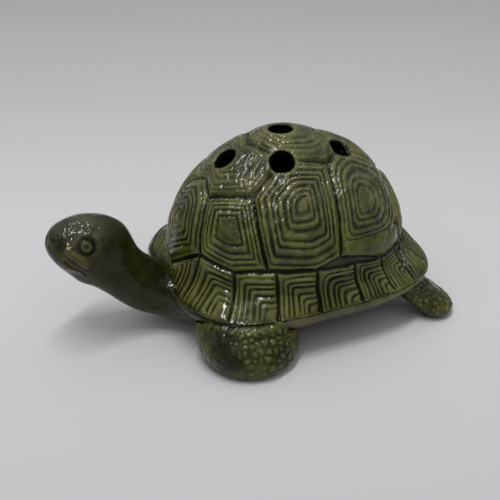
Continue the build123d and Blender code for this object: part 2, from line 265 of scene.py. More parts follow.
# Each scute: its edges, where its rings are centred, how many rings it has, the share of the way to
# that centre where they end, how deep they are cut as a share of the deepest, how far the scute
# bulges in millimetres and how round its rings are. A scute may also skip edges: its rings don't
# follow those.
SCUTES = {
    "v1": dict(edges=[(V1_TOP, V1_SIDE), (V1_SIDE, C1_FRONT), (C1_FRONT, NUCHAL)],
               heart=(0, 32), rings=6, flat=0.85, depth=0.8, rise=1.1, softness=0.03),
    "v2": dict(edges=[(V1_TOP, V1_SIDE), (V1_SIDE, C1_TOP), (C1_TOP, C2_TOP), (C2_TOP, V2_REAR)],
               heart=(3, 64), rings=6, flat=0.8, depth=0.40, rise=0.9, softness=0.06),
    "v3": dict(edges=[(V2_REAR, C2_TOP), (C2_TOP, C3_TOP), (C3_TOP, C3_CROWN), (C3_CROWN, V3_REAR)],
               heart=(0, 86.5), rings=6, flat=0.85, depth=0.45, rise=0.9, softness=0.07),
    "v4": dict(edges=[(V3_REAR, C3_CROWN), (C3_CROWN, C3_SHOULDER), (C3_SHOULDER, V4_REAR)],
               heart=(180, 60), rings=8, flat=0.9, depth=0.5, rise=0.9, softness=0.07),
    "v5": dict(edges=[(C3_SHOULDER, V4_REAR), (C3_SHOULDER, C4_REAR), (C4_REAR, V5_LOW)],
               heart=(180, 28), rings=5, flat=0.8, depth=0.7, rise=1.8, softness=0.04),
    "c1": dict(edges=[(V1_SIDE, C1_TOP), (C1_TOP, C1_REAR), (C1_REAR, C1_LOW), (C1_LOW, C1_FRONT),
                      (C1_FRONT, V1_SIDE)],
               heart=(33.3, 38.4), rings=4, flat=0.62, depth=1.0, rise=0.95, softness=0.02),
    "c2": dict(edges=[(C1_TOP, C2_TOP), (C2_TOP, C3_TOP), (C3_TOP, C2_REAR), (C2_REAR, C2_LOW),
                      (C2_LOW, C1_REAR), (C1_REAR, C1_TOP)],
               heart=(74, 53), rings=7, flat=0.86, depth=0.9, rise=1.05, softness=0.02),
    "c3": dict(edges=[(C3_TOP, C3_CROWN), (C3_CROWN, C3_SHOULDER), (C3_SHOULDER, C3_WAIST),
                      (C3_WAIST, C3_RING_REAR), (C3_RING_REAR, C3_RING_FRONT), (C2_REAR, C3_TOP)],
               heart=(122, 47), rings=6, flat=0.84, depth=0.65, rise=1.2, softness=0.09),
    "c3_foot": dict(edges=[(C3_FOOT_TOP_FRONT, C3_FOOT_TOP_REAR), (C3_WAIST, C3_REAR),
                           (C2_REAR, C3_TOP), (C2_REAR, C3_FOOT), (C3_FOOT, C3_REAR)],
                    heart=(118, 25), rings=0, flat=1.0, depth=0.8, rise=1.3, softness=0.05),
    "c4": dict(edges=[(C3_WAIST, C3_REAR), (C3_SHOULDER, C3_WAIST), (C3_REAR, C4_REAR),
                      (C4_REAR, C3_SHOULDER)],
               heart=(155, 24), rings=4, flat=0.8, depth=0.8, rise=1.2, softness=0.05),
}

# Marginal scutes: tops and feet of the seams between them, from the one over the neck to the rear
MARGINAL_TOPS = [NUCHAL, (20.6, 22.6), C1_LOW, (59.5, 23), (80.7, 23.4), (103.6, 22.1), C3_FOOT,
                 (141, 15.8), (152.5, 15), (164, 14.6), (173.5, 14.5), (187, 14.5)]
MARGINAL_FEET = [(-4, 4.5), (19.5, 6.8), (42.1, 4.9), (61.7, 3.9), (81, 4), (103.5, 4.5), (121, 5.1),
                 (133.4, 5.8), (148, 5.4), (162, 4.9), (172.5, 4.7), (187.5, 4.7)]

# What the marginal scutes share. Their edges run past the seams' feet, and their rings are centred
# low on them, towards their rear ends but on the first one towards its front end.
MARGINAL_FORM = dict(rings=6, flat=0.92, depth=0.95, rise=0.6)
MARGINAL_OVERRUN_SHARE = 1.5
MARGINAL_HEART_SHARE = 0.12
MARGINAL_LEAN_SHARE = 0.78
FIRST_LEAN_SHARE = 0.25
ROUND_RINGS = 0.10
SQUARE_RINGS = 0.045
SQUARE_MARGINALS = (1, 2, 3)


def mix(a, b, share):
    """A direction between two, as azimuth and elevation."""
    return tuple(a[i] * (1 - share) + b[i] * share for i in range(2))


def marginal_scutes():
    """The scutes of the rim."""
    scutes = {}
    for i in range(len(MARGINAL_TOPS) - 1):
        top_front, top_rear = MARGINAL_TOPS[i], MARGINAL_TOPS[i + 1]
        foot_front, foot_rear = MARGINAL_FEET[i], MARGINAL_FEET[i + 1]
        below_front = mix(top_front, foot_front, MARGINAL_OVERRUN_SHARE)
        below_rear = mix(top_rear, foot_rear, MARGINAL_OVERRUN_SHARE)
        edges = [(top_front, top_rear), (top_front, below_front), (top_rear, below_rear),
                 (below_front, below_rear)]
        lean = MARGINAL_LEAN_SHARE if i else FIRST_LEAN_SHARE
        foot = mix(foot_front, foot_rear, lean)
        top = mix(top_front, top_rear, lean)
        scutes[f"m{i + 1}"] = dict(
            edges=edges, heart=mix(foot, top, MARGINAL_HEART_SHARE), skip=(2, 3) if i else (1, 3),
            softness=SQUARE_RINGS if i in SQUARE_MARGINALS else ROUND_RINGS, **MARGINAL_FORM)
    return scutes


SCUTES.update(marginal_scutes())


def shell_rays(clay):
    """Place of each point from the focus in millimetres, its reach, and its direction folded to the left."""
    reach = (clay.co - FOCUS) / MM
    radius = np.linalg.norm(reach, axis=1)
    folded = reach / radius[:, None]
    folded[:, 0] = np.abs(folded[:, 0])
    return reach, radius, folded


def scute_gaps(scute, folded, radius):
    """Distance inside a scute's edges in millimetres, and for each edge as a share of its heart's."""
    heart = direction(*scute["heart"])
    gaps, shares = [], []
    for i, (start, end) in enumerate(scute["edges"]):
        across = np.cross(direction(*start), direction(*end))
        across /= np.linalg.norm(across)
        if across @ heart < 0:
            across = -across
        gaps.append(folded @ across * radius)
        if i not in scute.get("skip", ()):
            shares.append(folded @ across / (across @ heart))
    return np.minimum.reduce(gaps), shares


def seam_distance(folded, radius):
    """Distance to the nearest seam in millimetres."""
    return np.maximum.reduce([scute_gaps(scute, folded, radius)[0] for scute in SCUTES.values()])


# How far a stem hole reaches along its axis to either side of its mount, in millimetres
HOLE_REACH = 12


def hole_distance(reach):
    """Distance from the wall of the nearest stem hole in millimetres, below 0 inside it."""
    nearest = np.full(len(reach), FAR)
    for hole in STEM_HOLES:
        place = (np.array(hole["pos_m"]) - FOCUS) / MM
        axis = np.array(hole["axis"])
        offset = reach - place
        along = offset @ axis
        away = np.linalg.norm(offset - along[:, None] * axis, axis=1) - HOLE_RADIUS
        nearest = np.where(np.abs(along) < HOLE_REACH, np.minimum(nearest, away), nearest)
    return nearest


# Growth rings: their width and uneven spacing in turns, where the first one starts and the last one
# ends, how far the flat middle is sunk and over what stretch, and the wobble of their lines
RING_WIDTH = 0.27
RING_SPACING_SWING = 0.12
RING_SPACING_RATE = 2.3
FIRST_RING_START = (0.55, 0.8)
LAST_RING_END = (0.25, 0.45)
MIDDLE_SINK_SHARE = 0.2
MIDDLE_EDGE = 0.4
RING_WOBBLE = [(0.105, 9.0, 1), (0.045, 3.5, 2)]


def ring_cut(scute, shares, wobble):
    """How deep a scute's growth rings and flat middle are cut, as a share, below 0."""
    turns = scute["rings"]
    phase = soft_minimum(shares, scute["softness"]) / scute["flat"] * turns + wobble
    phase += RING_SPACING_SWING * np.sin(RING_SPACING_RATE * phase + scute["heart"][0])
    groove = bell(phase - np.round(phase), RING_WIDTH) * smoothstep(*FIRST_RING_START, phase)
    groove *= 1 - smoothstep(*LAST_RING_END, phase - turns)
    middle = MIDDLE_SINK_SHARE * smoothstep(0, MIDDLE_EDGE, phase - turns) if turns else 0
    return -scute["depth"] * (groove + middle)


# Distance in millimetres over which a scute bulges
BULGE_REACH = 3.2


def scute_forms(folded, radius, wobble):
    """Distance inside its own scute of each point, with the scute's bulge and ring cuts there."""
    inside = np.full(len(radius), -FAR)
    rise = np.zeros(len(radius))
    ring = np.zeros(len(radius))
    for scute in SCUTES.values():
        gap, shares = scute_gaps(scute, folded, radius)
        mine = gap > inside
        bulge = scute["rise"] * (1 - np.exp(-np.maximum(gap, 0) / BULGE_REACH))
        inside = np.where(mine, gap, inside)
        rise = np.where(mine, bulge, rise)
        ring = np.where(mine, ring_cut(scute, shares, wobble), ring)
    return inside, rise, ring


# Form of the whole shell: a hump over its rear, a waist above the rim and a flare of the rim's rear
# corners, with heights in millimetres, and places and widths in degrees
HUMP_HEIGHT = 2.2
HUMP_PLACE = (180, 58)
HUMP_WIDTH = 17
WAIST_ELEVATION = 14
WAIST_WIDTH = 5
SIDE_WAIST_DEPTH = 0.8
SIDE_WAIST_START = (18, 36)
REAR_WAIST_DEPTH = 0.7
REAR_WAIST_START = (115, 135)
REAR_WAIST_END = (165, 178)
FLARE_HEIGHT = 0.9
FLARE_AZIMUTH = 141
FLARE_AZIMUTH_WIDTH = 9
FLARE_ELEVATION = 5
FLARE_ELEVATION_WIDTH = 4


def hump_and_waist(folded, azimuth, elevation):
    """Height of the hump, less the depth of the waist."""
    from_hump = np.degrees(np.arccos(np.clip(folded @ direction(*HUMP_PLACE), -1, 1)))
    rear = smoothstep(*REAR_WAIST_START, azimuth) * (1 - smoothstep(*REAR_WAIST_END, azimuth))
    depth = SIDE_WAIST_DEPTH * smoothstep(*SIDE_WAIST_START, azimuth) + REAR_WAIST_DEPTH * rear
    return HUMP_HEIGHT * bell(from_hump, HUMP_WIDTH) - depth * bell(elevation - WAIST_ELEVATION, WAIST_WIDTH)


def flare(azimuth, elevation):
    """Height of the rim's flare at its rear corners."""
    around = bell(azimuth - FLARE_AZIMUTH, FLARE_AZIMUTH_WIDTH)
    return FLARE_HEIGHT * around * bell(elevation - FLARE_ELEVATION, FLARE_ELEVATION_WIDTH)


# Where the mould has worn the seams, on the front of the crown and on its top, in degrees
WORN_SHARE = 0.72
WORN_FRONT_LOW = (42, 52)
WORN_FRONT_REAR = (56, 74)
WORN_TOP_LOW = (60, 68)


def wear(azimuth, elevation):
    """How worn the seams are, from 0 to 1."""
    front = smoothstep(*WORN_FRONT_LOW, elevation) * (1 - smoothstep(*WORN_FRONT_REAR, azimuth))
    return np.maximum(front, smoothstep(*WORN_TOP_LOW, elevation))


# Carving of the shell, in millimetres: its cuts, the skin that is taken off so that the scutes can
# bulge, and where the cuts fade: beside a seam, round a stem hole and at the lower lip. Nothing is
# carved where the surface turns inwards. The seams sway by a share of their distance from the focus,
# and the rings are cut unevenly.
SEAM_DEPTH = 0.85
SEAM_WIDTH = 0.62
RING_DEPTH = 0.66
SKIN = 0.35
RING_MARGIN = (0.3, 1.4)
HOLE_MARGIN = (0.3, 2.4)
LIP_HEIGHTS = (0.4, 1.8)
OUTSIDE_FACING = (0.1, 0.5)
SWAY_SHARE = 0.006
SWAY_SIZE = 7.0
SWAY_SEEDS = (40, 41, 42)
UNEVEN_LEVEL = 0.78
UNEVEN = [(0.35, 6.0, 3), (0.25, 2.2, 4)]


def carve_shell(clay):
    """Bulges the scutes and cuts the seams and the growth rings."""
    outward = clay.normals()
    reach, radius, folded = shell_rays(clay)
    ray = reach / radius[:, None]
    sway = np.stack([lattice_noise(reach, SWAY_SIZE, seed) for seed in SWAY_SEEDS], axis=1)
    folded = folded + SWAY_SHARE * sway
    azimuth = np.degrees(np.arctan2(folded[:, 0], -folded[:, 1]))
    elevation = np.degrees(np.arcsin(ray[:, 2]))
    outside = smoothstep(*OUTSIDE_FACING, (outward * ray).sum(axis=1))
    lip = smoothstep(*LIP_HEIGHTS, clay.co[:, 2] / MM - SHELL_LOW.z / MM)
    clear = smoothstep(*HOLE_MARGIN, hole_distance(reach))
    inside, rise, ring = scute_forms(folded, radius, layered_noise(reach, RING_WOBBLE))
    ring *= (UNEVEN_LEVEL + layered_noise(reach, UNEVEN)) * smoothstep(*RING_MARGIN, inside)
    seam = bell(np.maximum(inside, 0), SEAM_WIDTH) * (1 - WORN_SHARE * wear(azimuth, elevation))
    cut = (SEAM_DEPTH * seam - RING_DEPTH * ring) * clear
    lift = (rise + hump_and_waist(folded, azimuth, elevation) - cut) * lip + flare(azimuth, elevation) - SKIN
    clay.co += outward * (lift * outside * MM)[:, None]


# Where the solid's plain grooves are filled: beside a seam, above the lower lip, away from the stem
# holes and on the outside, in millimetres
FILL_ROUNDS = 90
FILL_REACH = (1.5, 2.3)
FILL_LIP_HEIGHTS = (0.6, 2.0)
FILL_HOLE_MARGIN = (1.2, 1.9)
FILL_FACING = (-0.6, -0.3)


def fill_grooves(clay):
    """Fills the plain grooves of the solid, so that the seams can be carved afresh."""
    outward = clay.normals()
    reach, radius, folded = shell_rays(clay)
    weight = 1 - smoothstep(*FILL_REACH, seam_distance(folded, radius))
    weight *= smoothstep(*FILL_LIP_HEIGHTS, clay.co[:, 2] / MM - SHELL_LOW.z / MM)
    weight *= smoothstep(*FILL_FACING, (outward * reach).sum(axis=1) / radius)
    weight *= smoothstep(*FILL_HOLE_MARGIN, hole_distance(reach))
    clay.soften(FILL_ROUNDS, weight)


# Shell surface in millimetres: its voxels, the depth of a full pool of glaze, the plainer glaze
# round a stem hole and the painted shade inside, which starts where the surface turns inwards or in a hole
SHELL_VOXEL = 0.46
SHELL_GLAZE_DEPTH = 0.42
PLAIN_SHARE = 0.7
PLAIN_MARGIN = (0.8, 2.5)
PAINTED_SHADE_FACING = (0.0, 0.35)
PAINTED_SHADE_MARGIN = (-0.2, 0.3)

# Where the glaze has run most, as a direction that the right side and the rear mirror, how far its
# ripples reach from there, and how strong they are elsewhere
RUN_PLACE = (38, 58)
RIPPLE_MIDDLE = np.abs(direction(*RUN_PLACE))
RIPPLE_WIDTH = 0.5
RIPPLE_LEAST = 0.10


def shell():
    """The carved shell."""
    clay = Clay("carapace_shell", "carapace", SHELL_VOXEL)
    clay.relax(4)
    fill_grooves(clay)
    carve_shell(clay)
    clay.relax(1)
    glaze_and_painted_light = clay.glaze_share(SHELL_GLAZE_DEPTH)
    reach, radius, _ = shell_rays(clay)
    wall = hole_distance(reach)
    glaze_and_painted_light += (0.5 - glaze_and_painted_light) * PLAIN_SHARE * (1 - smoothstep(*PLAIN_MARGIN, wall))
    # Painted shade: the glaze colour is set to its darkest inside the stem holes and where the surface turns
    # inwards
    inside = 1 - smoothstep(*PAINTED_SHADE_FACING, (clay.normals() * reach).sum(axis=1) / radius)
    glaze_and_painted_light *= 1 - np.maximum(inside, 1 - smoothstep(*PAINTED_SHADE_MARGIN, wall))
    from_run = np.linalg.norm(np.abs(reach / radius[:, None]) - RIPPLE_MIDDLE, axis=1)
    ripple = RIPPLE_LEAST + (1 - RIPPLE_LEAST) * bell(from_run, RIPPLE_WIDTH)
    clay.finish(glaze("shell_glaze_material", SHELL_TONES, SHELL_SHINE), glaze_and_painted_light, ripple)


# Head: features as places from the snout's tip and the head's top, in millimetres, left side
HEAD_CORNER = np.array((0.0, HEAD_LOW.y, HEAD_HIGH.z)) / MM
EYE = (12.2, 15.4, -7.8)
NOSTRIL = (4.5, 2.8, -6.2)
SNOUT_HOLLOW = (8.3, 5.4, -7.8)
JAW_CORNER = (9.0, 10.6, -23.4)
CHEEK = [(10.4, 8.0, -8.8), (11.6, 9.4, -10.4), (12.8, 11.8, -12.2), (13.2, 14.0, -15.4)]
LIP = [(10.0, 6.2, -12.8), (11.1, 8.2, -15.8), (12.3, 11.5, -17.6), (12.2, 13.2, -20.4)]
BROW = [(11.0, 10.6, -6.4), (9.6, 14.1, -4.3), (9.0, 18.4, -3.8), (10.6, 20.7, -6.2)]
MOUTH_DROP = 1.7
MOUTH = [(x, y, z - MOUTH_DROP) for x, y, z in LIP]

# Long and spot features of the head, each with its height (below 0 is sunk) and its width or widths
HEAD_LINES = [(BROW, 0.45, 1.5), (CHEEK, 1.3, 1.6), (LIP, 0.6, 0.75), (MOUTH, -0.9, 0.9)]
HEAD_SPOTS = [(NOSTRIL, -0.9, 1.0), (SNOUT_HOLLOW, -0.9, (2.4, 2.2, 3.4)), (JAW_CORNER, -1.3, 5.0)]

# Eye: a ball with a sunk pupil, in a groove that is deeper behind the eye
EYEBALL_RADIUS = 2.5
EYEBALL_HEIGHT = 0.9
PUPIL_DEPTH = 1.0
PUPIL_WIDTH = 0.95
SOCKET_RADIUS = 3.35
SOCKET_WIDTH = 0.95
SOCKET_FRONT_DEPTH = 0.4125
SOCKET_REAR_GAIN = 0.45
SOCKET_TURN = (-2.5, 2.5)
EYE_UNEVEN = [(0.07, 3.0, 13)]

# Throat: a fold under the jaw, on what faces down
THROAT_Y = 22.0
THROAT_HEIGHT = 1.5
THROAT_WIDTH = 6.0
THROAT_FACING = (0.1, 0.7)

# Small dents round the brow
BROW_DENTS = [(0.18, 2.6, 11)]
BROW_DENTS_WIDTH = 6.0


def along_line(points, line):
    """Distance from each point to a line through several places."""
    nearest = np.full(len(points), FAR)
    for start, end in zip(line[:-1], line[1:]):
        start, run = np.array(start, float), np.array(end, float) - np.array(start, float)
        share = np.clip((points - start) @ run / (run @ run), 0, 1)
        nearest = np.minimum(nearest, np.linalg.norm(points - start - share[:, None] * run, axis=1))
    return nearest


def head_places(clay):
    """Place of each point from the head's corner in millimetres, folded to the left."""
    place = clay.co / MM - HEAD_CORNER
    place[:, 0] = np.abs(place[:, 0])
    return place


def sculpt_head(clay):
    """Eyes, brow, cheeks, nostrils and mouth."""
    outward = clay.normals()
    place = head_places(clay)
    eye = np.linalg.norm(place - np.array(EYE), axis=1)
    eye = eye * (1 + layered_noise(place, EYE_UNEVEN))
    socket = SOCKET_FRONT_DEPTH + SOCKET_REAR_GAIN * smoothstep(*SOCKET_TURN, place[:, 1] - EYE[1])
    lift = EYEBALL_HEIGHT * np.sqrt(np.clip(1 - (eye / EYEBALL_RADIUS) ** 2, 0, 1))
    lift -= PUPIL_DEPTH * bell(eye, PUPIL_WIDTH)
    lift -= socket * bell(eye - SOCKET_RADIUS, SOCKET_WIDTH)
    for line, height, width in HEAD_LINES:
        lift += height * bell(along_line(place, line), width)
    for spot, height, width in HEAD_SPOTS:
        lift += height * bell(np.linalg.norm((place - np.array(spot)) / np.array(width), axis=1), 1)
    throat = bell(place[:, 1] - THROAT_Y, THROAT_WIDTH) * smoothstep(*THROAT_FACING, -outward[:, 2])
    lift += THROAT_HEIGHT * throat
    lift += layered_noise(place, BROW_DENTS) * bell(along_line(place, BROW), BROW_DENTS_WIDTH)
    clay.co += outward * (lift * MM)[:, None]


# Shoulders: the front share of the belly plate, swollen beside the neck and drawn in elsewhere, with a
# ball in millimetres over the rim where the neck meets it
SHOULDER_SHARE = 0.2
SHOULDER_TURN = (20, 36)
SHOULDER_LEAST_SHARE = 0.994
SHOULDER_SWELL_SHARE = 0.036
SHOULDER_LIFT_SHARE = 0.18
NECK_BALL_RADII = (12.5, 5.0, 7.6)
NECK_BALL_BACK = 2.0
NECK_BALL_DROP = 3.0
CUT_PRECISION = 1e-7
BALL_ROUNDS = 4


def add_ball(bm, centre, radii):
    """Adds an egg-shaped ball with its centre and radii in metres."""
    matrix = Matrix.LocRotScale(Vector(centre), None, Vector(radii))
    bmesh.ops.create_icosphere(bm, subdivisions=BALL_ROUNDS, radius=1, matrix=matrix)


def shoulder(bm):
    """Adds the front of the belly plate to the neck, swollen over the rim where the neck meets it."""
    added = bmesh.new()
    added.from_mesh(frame["nodes"]["plastron"].data)
    low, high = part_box("plastron")
    cut = low.y + SHOULDER_SHARE * (high.y - low.y)
    geometry = added.verts[:] + added.edges[:] + added.faces[:]
    bmesh.ops.bisect_plane(added, geom=geometry, dist=CUT_PRECISION, plane_co=(0, cut, 0),
                           plane_no=(0, 1, 0), clear_outer=True)
    bmesh.ops.holes_fill(added, edges=[edge for edge in added.edges if edge.is_boundary])
    bmesh.ops.triangulate(added, faces=added.faces[:])
    centre = Vector((0, (low.y + high.y) / 2, low.z))
    for vert in added.verts:
        away = vert.co - centre
        turn = math.degrees(math.atan2(abs(away.x), -away.y))
        swell = 1 - float(smoothstep(*SHOULDER_TURN, turn))
        wider = SHOULDER_LEAST_SHARE + SHOULDER_SWELL_SHARE * swell
        taller = 1 + SHOULDER_LIFT_SHARE * swell
        vert.co = centre + Vector((away.x * wider, away.y * wider, away.z * taller))
    mesh = bpy.data.meshes.new("shoulder_slice")
    added.to_mesh(mesh)
    added.free()
    bm.from_mesh(mesh)
    bpy.data.meshes.remove(mesh)
    add_ball(bm, (0, SHELL_LOW.y + NECK_BALL_BACK * MM, SHELL_LOW.z - NECK_BALL_DROP * MM),
             [radius * MM for radius in NECK_BALL_RADII])


# Skin of the head, limbs and tail, in millimetres: its voxels and the depth of a full pool of glaze
SKIN_VOXEL = 0.5
SKIN_GLAZE_DEPTH = 0.5

# What is melted on the head and neck: all but the eyes, and more at the neck's foot, which starts and
# ends at lengths back from the snout in millimetres
HEAD_MELT_ROUNDS = 60
EYE_MARGIN = (4.5, 6.5)
FOOT_MELT_ROUNDS = 90
FOOT_START = (34, 46)
FOOT_END = (62, 66)

# Glaze of the head and neck: painted shade on the nape, thin on the cheek and lip, with a painted
# highlight along the lip, rippled on the crown and on the shoulders, in the same millimetres
NAPE_PAINTED_SHADE = 0.16
NAPE_START = (18, 30)
NAPE_FACING = (0.0, 0.6)
THIN_GLAZE_AND_LIP_HIGHLIGHT = [(CHEEK, 0.22, 2.0), (LIP, 0.2, 0.9)]
CROWN_LOW = (-13, -6)
CROWN_REAR = (20, 28)
SHOULDER_START = (38, 45)
HEAD_RIPPLE = 0.05
CROWN_RIPPLE = 0.75
SHOULDER_RIPPLE = 0.2


def head_and_neck():
    """The head and neck, with the neck's foot blended into the shoulders."""
    clay = Clay("head_and_neck_skin", "head_and_neck", SKIN_VOXEL, shoulder)
    place = head_places(clay)
    back = place[:, 1]
    eye = np.linalg.norm(place - np.array(EYE), axis=1)
    clay.relax(10)
    clay.soften(HEAD_MELT_ROUNDS, 1 - smoothstep(*EYE_MARGIN, eye))
    clay.soften(FOOT_MELT_ROUNDS, smoothstep(*FOOT_START, back) * (1 - smoothstep(*FOOT_END, back)))
    clay.relax(2)
    sculpt_head(clay)
    clay.relax(1)
    # Painted shade on the nape where it faces up: its glaze colour is darkened there
    nape_painted_shade = smoothstep(*NAPE_START, back) * smoothstep(*NAPE_FACING, clay.normals()[:, 2])
    glaze_and_painted_light = clay.glaze_share(SKIN_GLAZE_DEPTH) - NAPE_PAINTED_SHADE * nape_painted_shade
    # Lighter colour on the cheek from thin glaze, and on the lip from thin glaze and a painted highlight
    for line, amount, width in THIN_GLAZE_AND_LIP_HIGHLIGHT:
        glaze_and_painted_light += amount * bell(along_line(place, line), width)
    crown = smoothstep(*CROWN_LOW, place[:, 2]) * (1 - smoothstep(*CROWN_REAR, back))
    ripple = HEAD_RIPPLE + CROWN_RIPPLE * crown + SHOULDER_RIPPLE * smoothstep(*SHOULDER_START, back)
    clay.finish(glaze("head_glaze_material", BODY_TONES, HEAD_SHINE), glaze_and_painted_light, ripple)


# Belly plate, in millimetres: its voxels, the stretch behind the shell's front where the shoulders
# cover it, the stretch under the rim, and how far it is drawn in at each
BELLY_VOXEL = 0.75
BELLY_FRONT = (14, 34)
BELLY_EDGE = (-3.2, -0.4)
BELLY_FRONT_DRAW = 0.7
BELLY_EDGE_DRAW = 0.55
BELLY_CORNER_DRAW = 0.6
BELLY_RIPPLE = 0.3


def belly():
    """The belly plate, drawn in under the shell's rim and where the shoulders cover it."""
    clay = Clay("plastron_plate", "plastron", BELLY_VOXEL)
    clay.relax(4)
    outward = clay.normals()
    front = 1 - smoothstep(*BELLY_FRONT, (clay.co[:, 1] - SHELL_LOW.y) / MM)
    edge = smoothstep(*BELLY_EDGE, (clay.co[:, 2] - SHELL_LOW.z) / MM)
    draw = BELLY_FRONT_DRAW * front + (BELLY_EDGE_DRAW + BELLY_CORNER_DRAW * front) * edge
    clay.co -= outward * (draw * MM)[:, None]
    clay.finish(glaze("belly_glaze_material", LIMB_TONES, SHELL_SHINE),
                clay.glaze_share(SKIN_GLAZE_DEPTH), np.full(len(draw), BELLY_RIPPLE))


# How far a scale's middle strays in its cell, as a share, and where its crack and its top are
PEBBLE_STRAY_SHARE = 0.36
PEBBLE_EDGE = (-0.05, 0.75)


def pebbles(points, size, seed):
    """Rounded scales from -1 in the cracks to 1 on their tops."""
    p = points / size
    cell = np.floor(p).astype(np.int64)
    first = np.full(len(p), FAR)
    second = np.full(len(p), FAR)
    for i in range(27):
        c = cell + np.array((i % 3 - 1, i // 3 % 3 - 1, i // 9 - 1))
        stray = np.stack([cell_value(c, seed + k) for k in range(3)], axis=1)
        away = np.linalg.norm(p - (c + 0.5 + PEBBLE_STRAY_SHARE * stray), axis=1)
        second = np.where(away < first, first, np.minimum(second, away))
        first = np.minimum(first, away)
    return 2 * smoothstep(*PEBBLE_EDGE, second - first) - 1


# Front and hind legs: how far ahead of its middle a leg's scales start as a share of its length, the
# size and height of a scale in millimetres, and how far its root leans towards the shell's middle
FRONT_LEG = dict(start_share=0.21, scale_size=3.2, scale_height=0.30, lean_share=0.07)
HIND_LEG = dict(start_share=0.35, scale_size=2.7, scale_height=0.26, lean_share=0.20)

# Root that runs up under the rim, in millimetres and as shares of the leg's width and length, and the
# stretch below the leg's top where it starts to be melted in
ROOT_DROP = 1.6
ROOT_HEIGHT = 4.6
ROOT_WIDTH_SHARE = 0.41
ROOT_LENGTH_SHARE = 0.46
ROOT_MELT_ROUNDS = 14
ROOT_MELT_HEIGHTS = (-7, -4)

# Where the scales fade: at their uneven front edge, on the inner side, at the sole and on the top
SCALES_START = (-0.10, 0.02)
SCALES_FACING = (-0.35, 0.05)
SCALES_LOW = (2.6, 4.6)
SCALES_TOP_FACING = (0.75, 0.92)
SCALES_EDGE = [(0.05, 5, 5)]
SCALES_SEED = 31

# Unevenness of a leg, on its bare skin and above its sole
SKIN_DENTS = [(0.10, 1.6, 21)]
LEG_SWELL = [(0.35, 9.0, 22)]
LEG_SWELL_LOW = (1.5, 6)

# Glaze of a leg: painted shade on its front, at shares of the leg's size from its middle, and ripples
LEG_GLAZE_DEPTH = 0.55
SHADE_PLACE_SHARES = (0.30, -0.28, 0.62)
SHADE_RADII = (9, 7, 11)
PAINTED_SHADE_DARKNESS = 0.45
LEG_RIPPLE = 0.75
SCALES_CALM = 0.5


def leg(node_name, start_share, scale_size, scale_height, lean_share):
    """A leg with scales on its outer side."""
    low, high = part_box(node_name)
    centre = (low + high) / 2
    side = math.copysign(1, centre.x)

    def stump(bm):
        """Adds a root that runs up under the rim, towards the middle of the shell."""
        lean = lean_share * (SHELL_MIDDLE_Y - centre.y)
        add_ball(bm, (centre.x * (1 - lean_share), centre.y + lean, high.z - ROOT_DROP * MM),
                 ((high.x - low.x) * ROOT_WIDTH_SHARE, (high.y - low.y) * ROOT_LENGTH_SHARE,
                  ROOT_HEIGHT * MM))

    clay = Clay(node_name + "_skin", node_name, SKIN_VOXEL, stump)
    clay.relax(3)
    clay.soften(ROOT_MELT_ROUNDS, smoothstep(*ROOT_MELT_HEIGHTS, (clay.co[:, 2] - high.z) / MM))
    outward = clay.normals()
    size = np.array(high - low) / MM
    place = (clay.co - np.array((centre.x, centre.y, 0))) / MM
    mirrored = place * np.array((side, 1, 1))
    height = place[:, 2]
    back = place[:, 1] / size[1] + start_share + layered_noise(place, SCALES_EDGE)
    scaly = smoothstep(*SCALES_START, back) * smoothstep(*SCALES_FACING, outward[:, 0] * side)
    scaly *= smoothstep(*SCALES_LOW, height) * (1 - smoothstep(*SCALES_TOP_FACING, outward[:, 2]))
    lift = scale_height * scaly * pebbles(mirrored, scale_size, SCALES_SEED)
    lift += layered_noise(mirrored, SKIN_DENTS) * (1 - scaly)
    lift += layered_noise(mirrored, LEG_SWELL) * smoothstep(*LEG_SWELL_LOW, height)
    clay.co += outward * (lift * MM)[:, None]
    clay.co[:, 2] = np.maximum(clay.co[:, 2], low.z)
    clay.relax(1)
    # Painted shade: the glaze colour is darkened on the leg's smooth front
    from_shade = np.linalg.norm((mirrored - np.array(SHADE_PLACE_SHARES) * size) / np.array(SHADE_RADII), axis=1)
    glaze_and_painted_light = clay.glaze_share(LEG_GLAZE_DEPTH) - PAINTED_SHADE_DARKNESS * bell(from_shade, 1) * (1 - scaly)
    clay.finish(glaze(node_name + "_skin_glaze", LIMB_TONES, LEG_SHINE), glaze_and_painted_light,
                LEG_RIPPLE - SCALES_CALM * scaly)


# Strength of the ripples on the tail's glaze
TAIL_RIPPLE = 0.5


def tail():
    """The small tail."""
    clay = Clay("tail_skin", "tail", SKIN_VOXEL)
    clay.relax(4)
    clay.finish(glaze("tail_glaze_material", BODY_TONES, SHELL_SHINE),
                clay.glaze_share(SKIN_GLAZE_DEPTH), np.full(len(clay.co), TAIL_RIPPLE))


def node(tree, kind, **values):
    """A shader node with its inputs set by name."""
    made = tree.nodes.new(kind)
    for key, value in values.items():
        made.inputs[key.replace("_", " ")].default_value = value
    return made


def attribute_node(tree, name):
    """A shader node that reads a value kept on the mesh."""
    made = tree.nodes.new("ShaderNodeAttribute")
    made.attribute_name = name
    return made


def multiply_add(tree, value, factor, addend):
    """A shader node for value times factor plus addend."""
    made = node(tree, "ShaderNodeMath")
    made.operation = "MULTIPLY_ADD"
    made.inputs[1].default_value = factor
    tree.links.new(value, made.inputs[0])
    tree.links.new(addend, made.inputs[2])
    return made.outputs["Value"]


def ramp(tree, stops):
    """A colour ramp with stops of (place, colour)."""
    made = tree.nodes.new("ShaderNodeValToRGB")
    while len(made.color_ramp.elements) < len(stops):
        made.color_ramp.elements.new(0.5)
    for element, (place, colour) in zip(made.color_ramp.elements, stops):
        element.position = place
        element.color = (*colour, 1)
    return made


